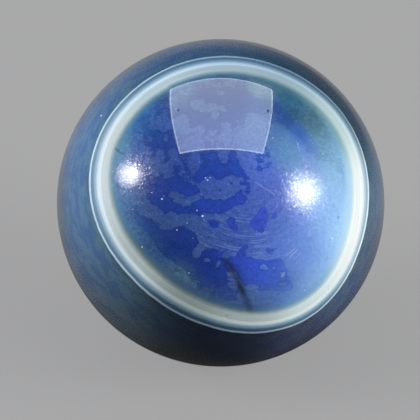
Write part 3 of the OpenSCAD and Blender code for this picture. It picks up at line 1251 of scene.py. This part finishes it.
        # The outer colour is near black low on the front, where it holds painted shade.
        colour = graph.vector("MULTIPLY", graph.field("outer_colour", "Color"),
                              graph.mix(deep, self.teal_streak, self.deep_streak))
        beside = graph.mix(graph.fade(depth, *self.beside_ring_mm), PLAIN, self.beside_ring)
        level = graph.swung(graph.noise(layer_place, self.fine_streaks), self.fine_streaks)
        return graph.scaled(graph.vector("MULTIPLY", colour, beside), level)

    def blue_middle(self, graph: Graph, plane: Socket) -> Socket:
        """Clear deep blue stone under a broken pale veil, with a teal edge and a healed crack.

        The veil covers a place where its share there, plus coarse and fine noise, is above 0.

        Args:
            graph: The material.
            plane: Place on the surface laid flat round the eye, in mm.

        Returns:
            The colour.
        """
        coarse = graph.noise(plane, self.coarse_veil)
        share = graph.swung(coarse, self.coarse_veil, graph.field("veil"))
        share = graph.swung(graph.noise(plane, self.fine_veil), self.fine_veil, share)
        rough = graph.fade(graph.along(plane, 0), *self.mottling_by_x_mm)
        mottled = graph.math("SUBTRACT", graph.noise(plane, self.mottling), 0.5)
        level = graph.math("MULTIPLY_ADD", mottled, rough, 1.0)
        half_level = graph.math("MULTIPLY_ADD", level, 0.5, 0.5)
        clear = graph.scaled(graph.field("clear_colour", "Color"), half_level)
        clear = graph.scaled(clear, graph.fade(share, *self.window_rim))
        pale = self.veil_stone(graph, plane, graph.scaled(graph.field("veil_colour", "Color"), level))
        middle = graph.mix(graph.fade(share, *self.veil_edge), clear, pale)
        teal = graph.math("MULTIPLY", graph.field("teal"), graph.fade(coarse, *self.teal_patches))
        # Beside the ring the stone takes the inside colour, which at the eye's right is partly painted glow.
        middle = graph.mix(teal, middle, graph.field("inside_colour", "Color"))
        return graph.mix(graph.field("fissure"), middle, self.fissure_dark)

    def veil_stone(self, graph: Graph, plane: Socket, pale: Socket) -> Socket:
        """The veil's own look: pale frost in some cells of a point lattice, and pale brush marks, partly real
        polish marks and partly painted glint.

        Args:
            graph: The material.
            plane: Place on the surface laid flat round the eye, in mm.
            pale: The veil's plain colour.

        Returns:
            The colour.
        """
        distance, chance = graph.cells(plane, self.frost_cells)
        frost = graph.math("MULTIPLY", graph.fade(distance, *self.frost_spot),
                           graph.fade(graph.along(chance, 0), *self.frost_chance))
        pale = graph.mix(frost, pale, self.speck_pale)
        # The brush marks are partly real polish marks and partly painted glint, arcs round the highlight.
        marks = graph.fade(graph.noise(graph.field("swirl_place", "Vector"), self.brushing), *self.brush_edge)
        marks = graph.math("MULTIPLY", marks, graph.field("brushed"))
        return graph.mix(graph.math("MULTIPLY", marks, self.brush_and_glint_strength), pale, self.brush_mark_and_glint)

    def ring(self, graph: Graph, layer_place: Socket, depth: Socket, colour: Socket) -> Socket:
        """The ring's layers laid on the stone, with fine growth lines and a cream layer that greens inwards.

        Args:
            graph: The material.
            layer_place: Place along the ring, and depth from it, in mm.
            depth: Depth from the ring in mm, as its layers see it.
            colour: The stone under the layers.

        Returns:
            The colour.
        """
        lines = graph.swung(graph.noise(layer_place, self.growth_lines), self.growth_lines)
        greening = graph.mix(graph.fade(depth, *self.greening_mm), PLAIN, graph.field("greening", "Color"))
        for layer in self.layers:
            tone = graph.vector("MULTIPLY", graph.scaled(graph.field(layer.field, "Color"), lines), greening)
            colour = graph.laid(colour, tone, graph.ramp(depth, layer.covers), layer.powers)
        return colour

    def marked(self, graph: Graph, place: Socket, plane: Socket, colour: Socket) -> Socket:
        """Small marks laid on the stone: stains and painted shade in pits, veins, pale specks and scratches.

        Args:
            graph: The material.
            place: Place on the ball, in mm.
            plane: Place on the surface laid flat round the eye, in mm.
            colour: The stone under the marks.

        Returns:
            The colour.
        """
        # Stains, and painted shade in the dents, darken the stone.
        colour = graph.mix(self.spotted(graph, place, self.stains_and_pit_shade), colour, self.stain_and_pit_shade_dark)
        for vein in self.veins:
            colour = graph.mix(self.hairline(graph, plane, vein, self.vein_reach_mm), colour, self.vein_dark)
        pale = self.spotted(graph, place, self.specks)
        for scratch in self.scratches:
            pale = graph.math("MAXIMUM", pale, self.hairline(graph, plane, scratch, self.scratch_reach_mm))
        return graph.mix(pale, colour, self.speck_pale)

    def build(self) -> bpy.types.Material:
        """Builds the whole finish.

        Returns:
            The material.
        """
        material = bpy.data.materials.new("polished_agate")
        graph = Graph(material)
        place = graph.scaled(graph.added("ShaderNodeTexCoord", {}).outputs["Object"], 1.0 / MM)
        plane = graph.field("eye_plane", "Vector")
        layer_place = graph.field("layer_place", "Vector")
        wobble = graph.noise(place, self.layer_wobble)
        depth = graph.swung(wobble, self.layer_wobble, graph.field("layer_depth"))
        outer = self.outer_stone(graph, layer_place, depth)
        colour = graph.mix(graph.fade(depth, *self.middle_edge_mm), outer, self.blue_middle(graph, plane))
        colour = self.marked(graph, place, plane, self.ring(graph, layer_place, depth, colour))
        normal = graph.bump(graph.noise(place, self.grain), self.grain_bump_mm)
        rough, normal = self.haze(graph, plane, normal)
        for name, source in (("Base Color", colour), ("Roughness", rough), ("Normal", normal),
                             ("IOR", self.stone_ior), ("Specular IOR Level", self.stone_gloss),
                             ("Coat Weight", 1.0), ("Coat Roughness", self.polish_rough),
                             ("Coat IOR", self.stone_ior), ("Coat Normal", self.sparkle(graph, plane))):
            graph.put(graph.shader.inputs[name], source)
        return material

    def haze(self, graph: Graph, plane: Socket, normal: Socket) -> tuple[Socket, Socket]:
        """The stone's grains under the polish, whose roughness and tilt speckle a lamp's halo.

        Args:
            graph: The material.
            plane: Place on the surface laid flat round the eye, in mm.
            normal: The surface's normal.

        Returns:
            The roughness, and the normal with each grain's tilt.
        """
        rough = graph.math("MULTIPLY_ADD", graph.noise(plane, self.grain_haze), *self.grain_rough)
        _, chance = graph.cells(plane, self.grain_cells)
        tilt = graph.scaled(graph.vector("SUBTRACT", chance, HALVES), self.grain_tilt)
        return rough, graph.vector("NORMALIZE", graph.vector("ADD", normal, tilt))

    def sparkle(self, graph: Graph, plane: Socket) -> Socket:
        """The polish's normal, tilted by a tiny facet in the middle of each cell of a point lattice.

        Args:
            graph: The material.
            plane: Place on the surface laid flat round the eye, in mm.

        Returns:
            The normal.
        """
        distance, chance = graph.cells(plane, self.facet_cells)
        tilt = graph.vector("SUBTRACT", chance, HALVES)
        steep = graph.math("MULTIPLY", graph.vector("LENGTH", tilt), self.facet_tilt)
        inside = graph.math("MULTIPLY", graph.fade(distance, *self.facet), steep)
        on_eye = graph.fade(graph.vector("LENGTH", plane), *self.facets_end_mm)
        inside = graph.math("MULTIPLY", inside, on_eye)
        normal = graph.added("ShaderNodeNewGeometry", {}).outputs["Normal"]
        return graph.vector("NORMALIZE", graph.vector("ADD", normal, graph.scaled(tilt, inside)))

    def spotted(self, graph: Graph, place: Socket, spots: tuple[Speck, ...]) -> Socket:
        """Share of the nearest spot: its strength in its middle, and 0 outside its soft edge.

        Args:
            graph: The material.
            place: Place on the ball, in mm.
            spots: The spots.

        Returns:
            The share.
        """
        share = 0.0
        for spot in spots:
            centre = tuple(self.view.to_ball(np.array(spot.place_px, float)) * self.eye.radius / MM)
            low, high = (edge * spot.width_mm for edge in self.spot_edge)
            near = graph.fade(graph.vector("DISTANCE", place, centre), low, high, spot.strength, 0.0)
            share = graph.math("MAXIMUM", share, near)
        return share

    def hairline(self, graph: Graph, plane: Socket, scratch: Scratch, reach_mm: float) -> Socket:
        """Share of a scratch, which falls to 0 at a reach from the line's nearest point.

        Args:
            graph: The material.
            plane: Place on the surface laid flat round the eye, in mm.
            scratch: The scratch.
            reach_mm: The reach.

        Returns:
            The share.
        """
        ends = self.eye.plane_mm(self.view.to_ball(np.array((scratch.start_px, scratch.end_px), float)))
        start, step = (*ends[0], 0.0), (*(ends[1] - ends[0]), 0.0)
        offset = graph.vector("SUBTRACT", plane, start)
        along = graph.vector("DOT_PRODUCT", offset, step)
        along = graph.math("DIVIDE", along, math.dist(*ends) ** 2, clamp=True)
        away = graph.vector("DISTANCE", offset, graph.scaled(step, along))
        return graph.fade(away, 0.1 * reach_mm, reach_mm, scratch.strength, 0.0)


@dataclass(frozen=True)
class StudioPaper:
    """The floor's pale paper, part of which the camera sees at a plain tone, so that its shadows are soft."""

    tone: Rgb = (0.42, 0.42, 0.4242)
    glow_tone: Rgb = (1.0, 1.0, 1.01)
    rough: float = 0.9
    gloss: float = 0.1
    seen: float = 0.39
    thinned: float = 0.75
    mirrored_front: float = 0.03
    mirrored_back: float = 0.26
    right_share: float = 0.45
    rightward: tuple[float, float] = (0.05, 0.14)
    backward: tuple[float, float] = (-0.01, 0.045)

    def build(self) -> bpy.types.Material:
        """Builds the paper, which the polish mirrors dark in front of the ball and lighter behind it.

        Returns:
            The material.
        """
        material = bpy.data.materials.new("studio_paper")
        graph = Graph(material)
        for name, value in (("Base Color", (*self.tone, 1.0)), ("Roughness", self.rough),
                            ("Specular IOR Level", self.gloss)):
            graph.put(graph.shader.inputs[name], value)
        path = graph.added("ShaderNodeLightPath", {})
        place = graph.added("ShaderNodeTexCoord", {}).outputs["Object"]
        back = graph.fade(graph.along(place, 0), *self.rightward, self.mirrored_back,
                          self.mirrored_back * self.right_share)
        mirrored = graph.between(graph.fade(graph.along(place, 1), *self.backward), self.mirrored_front, back)
        shown = graph.shader.outputs["BSDF"]
        for output, share, level in (("Is Camera Ray", self.thinned, self.seen),
                                     ("Is Glossy Ray", 1.0, mirrored)):
            plain = graph.added("ShaderNodeEmission", {"Color": (*self.glow_tone, 1.0), "Strength": level})
            share = graph.math("MULTIPLY", path.outputs[output], share)
            shown = graph.added("ShaderNodeMixShader", {0: share, 1: shown, 2: plain.outputs[0]}).outputs[0]
        graph.put(graph.tree.nodes["Material Output"].inputs["Surface"], shown)
        return material


class Reach(Enum):
    """What a lamp's light is for: the polish's mirror images, or the soft light on the stone."""

    MIRRORED = "mirrored"
    SOFT = "soft"


class Outline(Enum):
    """Outline of a lamp's face, by Blender's name."""

    OBLONG = "RECTANGLE"
    ROUND = "ELLIPSE"


@dataclass(frozen=True)
class Glow:
    """A round lamp with a bright core and a wide glow.

    Each has the place where the polish mirrors it, its width in degrees as seen from the ball, and its
    radiance. The level is how bright its soft light makes white paper, and blue tints that light.
    """

    name: str
    core_px: Pixel
    core: float
    core_radiance: float
    glow_px: Pixel
    width: float
    radiance: float
    level: float
    blue: float


@dataclass(frozen=True)
class Studio:
    """Plain pale floor, plain grey surroundings and soft lamps."""

    view: PhotoView
    floor_height: float
    floor_radius: float = 6.0
    floor_sides: int = 96
    sky_seen: float = 0.39
    sky_mirrored: float = 0.10
    horizon_mirrored: float = 0.26
    right_share: float = 0.45
    sky_soft: float = 0.22
    horizon_right: tuple[float, float] = (0.0, 0.32)
    horizon_top: tuple[float, float] = (0.0, 0.28)
    panel_height: float = 0.5
    panel_size: tuple[float, float] = (0.552, 0.573)
    panel_centre: tuple[float, float] = (0.0045, 0.0675)
    panel_radiance: Rgb = (3.0, 3.5, 3.8)
    panel_edge: float = 0.010
    panel_edge_drop: float = 0.001
    edge_radiance: Rgb = (3.4, 4.0, 4.35)
    front_edge_radiance: Rgb = (4.9, 5.5, 5.9)
    panel_soft: float = 0.11
    panel_soft_spread: float = 60.0
    panel_soft_out: Rgb = (0.0, 0.1, 1.0)
    lamp_distance: float = 0.6
    lamp_soft_spread: float = 40.0
    glows: tuple[Glow, ...] = (
        Glow("left", (133.8, 173.0), 6.0, 650.0, (130.0, 175.0), 18.4, 13.6, 0.74, 1.05),
        Glow("right", (304.2, 191.8), 8.2, 807.0, (302.3, 191.6), 29.0, 7.4, 0.85, 1.0))

    def placed(self, name: str, data: bpy.types.Light, out: Array, place: Array,
               reach: Reach) -> bpy.types.Object:
        """Puts a lamp in the scene.

        A round lamp's width lies along the way that the ball's rounding presses its image together.

        Args:
            name: The lamp's name.
            data: The lamp's light.
            out: Direction from the ball to the lamp, which shines the other way.
            place: Where it stands.
            reach: Whether the ball mirrors it or it lights the stone.

        Returns:
            The lamp.
        """
        lamp = bpy.data.objects.new(name, data)
        bpy.context.scene.collection.objects.link(lamp)
        is_round = data.type == "AREA" and data.shape == Outline.ROUND.value
        pressed = self.view.back if is_round else self.view.right
        right = unit(pressed - (pressed @ out) * out)
        matrix = np.eye(4)
        matrix[:3] = np.column_stack([right, np.cross(out, right), out, place])
        lamp.matrix_world = matrix.T.tolist()
        lamp.visible_camera = False
        lamp.visible_diffuse = reach is Reach.SOFT
        lamp.visible_glossy = reach is Reach.MIRRORED
        LOG.info("%s: a lamp, %s", name, reach.value)
        return lamp

    def mirrored_face(self, name: str, outline: Outline, size: tuple[float, float], radiance: Rgb, out: Array,
                      place: Array) -> bpy.types.Object:
        """A bright face that only the polish shows.

        Args:
            name: The lamp's name.
            outline: Its outline.
            size: Its width and depth.
            radiance: How bright its face is, by colour.
            out: Direction from the ball to the lamp.
            place: Where it stands.

        Returns:
            The lamp.
        """
        data = bpy.data.lights.new(name, "AREA")
        data.shape, data.size, data.size_y = outline.value, *size
        data.energy = math.pi * size[0] * size[1] * (math.pi / 4 if outline is Outline.ROUND else 1.0)
        data.color = radiance
        return self.placed(name, data, out, place, Reach.MIRRORED)

    def dimmed_outwards(self, lamp: bpy.types.Object) -> None:
        """Dims a round lamp's face from its middle to its rim, by (1 - r^2)^2 at the share r of its radius.

        Args:
            lamp: The lamp.
        """
        graph = Graph(lamp.data, "Emission")
        across, along, _ = lamp.matrix_world.to_3x3().transposed()
        place = graph.added("ShaderNodeNewGeometry", {}).outputs["Position"]
        offset = graph.vector("SUBTRACT", place, tuple(lamp.matrix_world.translation))
        shares = [graph.vector("DOT_PRODUCT", offset, tuple(axis * 2.0 / size))
                  for axis, size in ((across, lamp.data.size), (along, lamp.data.size_y))]
        square = graph.math("ADD", *[graph.math("MULTIPLY", share, share) for share in shares])
        left = graph.math("SUBTRACT", 1.0, square, clamp=True)
        graph.put(graph.shader.inputs["Strength"], graph.math("MULTIPLY", left, left))

    def soft_lamp(self, name: str, level: float, spread: float, out: Array) -> bpy.types.Object:
        """Parallel soft light.

        Args:
            name: The lamp's name.
            level: How bright white paper facing it is.
            spread: The angle that it fills, as seen from the ball.
            out: Direction from the ball to the lamp.

        Returns:
            The lamp.
        """
        data = bpy.data.lights.new(name, "SUN")
        data.energy, data.angle = level * math.pi, math.radians(spread)
        return self.placed(name, data, unit(out), unit(out), Reach.SOFT)

    def build_panel(self) -> None:
        """The ceiling panel with its brighter edges, once for its mirror image and once as soft light."""
        up = np.array(AXES[2])
        middle = np.array([*self.panel_centre, self.panel_height])
        width, depth = self.panel_size
        edge = self.panel_edge
        self.mirrored_face("panel_mirrored", Outline.OBLONG, self.panel_size, self.panel_radiance, up, middle)
        for name, x, y, size, radiance in (("back", 0.0, 0.5, (width, edge), self.edge_radiance),
                                           ("front", 0.0, -0.5, (width, edge), self.front_edge_radiance),
                                           ("right", 0.5, 0.0, (edge, depth), self.edge_radiance),
                                           ("left", -0.5, 0.0, (edge, depth), self.edge_radiance)):
            place = middle + np.array([x * (width - edge), y * (depth - edge), -self.panel_edge_drop])
            self.mirrored_face(f"panel_{name}_edge", Outline.OBLONG, size, radiance, up, place)
        self.soft_lamp("panel_soft", self.panel_soft, self.panel_soft_spread, np.array(self.panel_soft_out))

    def build_lamps(self) -> None:
        """The two round lamps, each once for its mirror image and once as soft light.

        An image r from the middle of the ball, in ball radii, is pressed together by 1 - r^2 towards the
        middle, so each lamp is longer that way and its image is round.
        """
        for glow in self.glows:
            for part, place, width, radiance in (("core", glow.core_px, glow.core, glow.core_radiance),
                                                 ("glow", glow.glow_px, glow.width, glow.radiance)):
                out = self.view.mirrored(place)
                off = math.dist(place, self.view.ball_px) / self.view.ball_radius_px
                across = 2 * self.lamp_distance * math.tan(math.radians(width / 2))
                size = (across / (1.0 - off ** 2), across)
                lamp = self.mirrored_face(f"{glow.name}_{part}", Outline.ROUND, size, (radiance,) * 3, out,
                                          out * self.lamp_distance)
                self.dimmed_outwards(lamp)
            soft = self.soft_lamp(f"{glow.name}_soft", glow.level, self.lamp_soft_spread, out)
            soft.data.color = (1.0, 1.0, glow.blue)

    def build_surroundings(self) -> None:
        """Even grey surroundings: seen at one tone, mirrored lighter towards the horizon behind, and soft."""
        world = bpy.data.worlds.new("surroundings")
        graph = Graph(world, "Background")
        path = graph.added("ShaderNodeLightPath", {})
        ahead = graph.added("ShaderNodeTexCoord", {}).outputs["Generated"]
        rightward, backward, upward = (graph.along(ahead, axis) for axis in range(3))
        horizon = graph.fade(rightward, *self.horizon_right, self.horizon_mirrored,
                             self.horizon_mirrored * self.right_share)
        rear = graph.between(graph.fade(upward, *self.horizon_top), horizon, self.sky_mirrored)
        mirrored = graph.between(graph.math("GREATER_THAN", backward, 0.0), self.sky_mirrored, rear)
        level = self.sky_soft
        for output, value in (("Is Camera Ray", self.sky_seen), ("Is Glossy Ray", mirrored)):
            level = graph.between(path.outputs[output], level, value)
        graph.put(graph.shader.inputs["Color"], level)
        bpy.context.scene.world = world

    def build_floor(self) -> None:
        """A wide disc of paper under the ball."""
        turns = np.arange(self.floor_sides) * 2 * np.pi / self.floor_sides
        rim = np.stack([np.cos(turns), np.sin(turns)], -1) * self.floor_radius
        points = np.column_stack([rim, np.full(len(turns), self.floor_height)])
        mesh = bpy.data.meshes.new("floor")
        mesh.from_pydata(points.tolist(), [], [list(range(len(points)))])
        floor = bpy.data.objects.new("floor", mesh)
        bpy.context.scene.collection.objects.link(floor)
        mesh.materials.append(StudioPaper().build())
        LOG.info("%s: %d corners", floor.name, len(points))


@dataclass(frozen=True)
class AgateBall:
    """The ball itself: its fine shell and the fields that its finish reads."""

    radius: float
    view: PhotoView
    eye: Eye
    grid: CubeGrid = CubeGrid()

    def write_fields(self, mesh: bpy.types.Mesh, directions: Array) -> None:
        """Stores the stone's fields on the shell's corners.

        Args:
            mesh: The shell.
            directions: Unit vectors to its corners.
        """
        stone = StoneFields(self.view, self.eye)
        clear, veil = stone.inner_colours(directions)
        swirl, brushed = stone.swirl(directions)
        turn, _ = self.eye.polar(directions)
        round_eye = np.stack([np.cos(turn), np.sin(turn)], -1) * self.radius / MM
        places = {"eye_plane": np.column_stack([self.eye.plane_mm(directions), np.zeros(len(turn))]),
                  "swirl_place": swirl,
                  "layer_place": np.column_stack([round_eye, self.eye.depth_mm(directions)])}
        colours = {"clear_colour": clear, "veil_colour": veil,
                   "outer_colour": stone.outer_colours(directions), **stone.rim_colours(directions)}
        values = {"layer_depth": stone.depth(directions), "veil": stone.veil(directions),
                  "teal": stone.teal(directions), "brushed": brushed, "fissure": stone.fissure(directions)}
        opaque = np.ones(len(directions))
        colours = {name: np.column_stack([field, opaque]) for name, field in colours.items()}
        for fields, kind, key in ((places, "FLOAT_VECTOR", "vector"), (colours, "FLOAT_COLOR", "color"),
                                  (values, "FLOAT", "value")):
            for name, field in fields.items():
                mesh.attributes.new(name, kind, "POINT").data.foreach_set(key, field.ravel())

    def build(self) -> None:
        """Builds the shell, dresses it and ties it to the solid that it stands for."""
        points, faces, finish_map = self.grid.build()
        relief = Relief(self.view)
        directions = relief.gathered(points @ self.eye.axes, self.radius)
        corners = directions * (self.radius + relief.height(directions, self.radius))[:, None]
        mesh = bpy.data.meshes.new("agate_shell")
        mesh.vertices.add(len(corners))
        mesh.vertices.foreach_set("co", corners.ravel())
        mesh.loops.add(faces.size)
        mesh.loops.foreach_set("vertex_index", faces.ravel())
        mesh.polygons.add(len(faces))
        mesh.polygons.foreach_set("loop_start", np.arange(len(faces)) * 4)
        mesh.polygons.foreach_set("loop_total", np.full(len(faces), 4))
        mesh.update(calc_edges=True)
        mesh.shade_smooth()
        mesh.uv_layers.new(name="OFBake").data.foreach_set("uv", finish_map.ravel())
        self.write_fields(mesh, directions)
        ball = bpy.data.objects.new("agate_shell", mesh)
        bpy.context.scene.collection.objects.link(ball)
        mesh.materials.append(PolishedAgate(self.view, self.eye).build())
        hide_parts(NODE)
        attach(ball, BODY)
        LOG.info("%s: %d corners, %d faces", ball.name, len(corners), len(faces))


def main() -> None:
    """Builds the camera, the studio and the ball."""
    logging.basicConfig(level=logging.INFO, format="%(name)s: %(message)s")
    low, _ = CAD_BOX
    view = PhotoView(BALL_RADIUS)
    view.build()
    studio = Studio(view, floor_height=low.z)
    studio.build_panel()
    studio.build_lamps()
    studio.build_surroundings()
    studio.build_floor()
    AgateBall(BALL_RADIUS, view, Eye(BALL_RADIUS)).build()
    bpy.context.scene.view_settings.view_transform = "Standard"


if __name__ == "__main__":
    main()
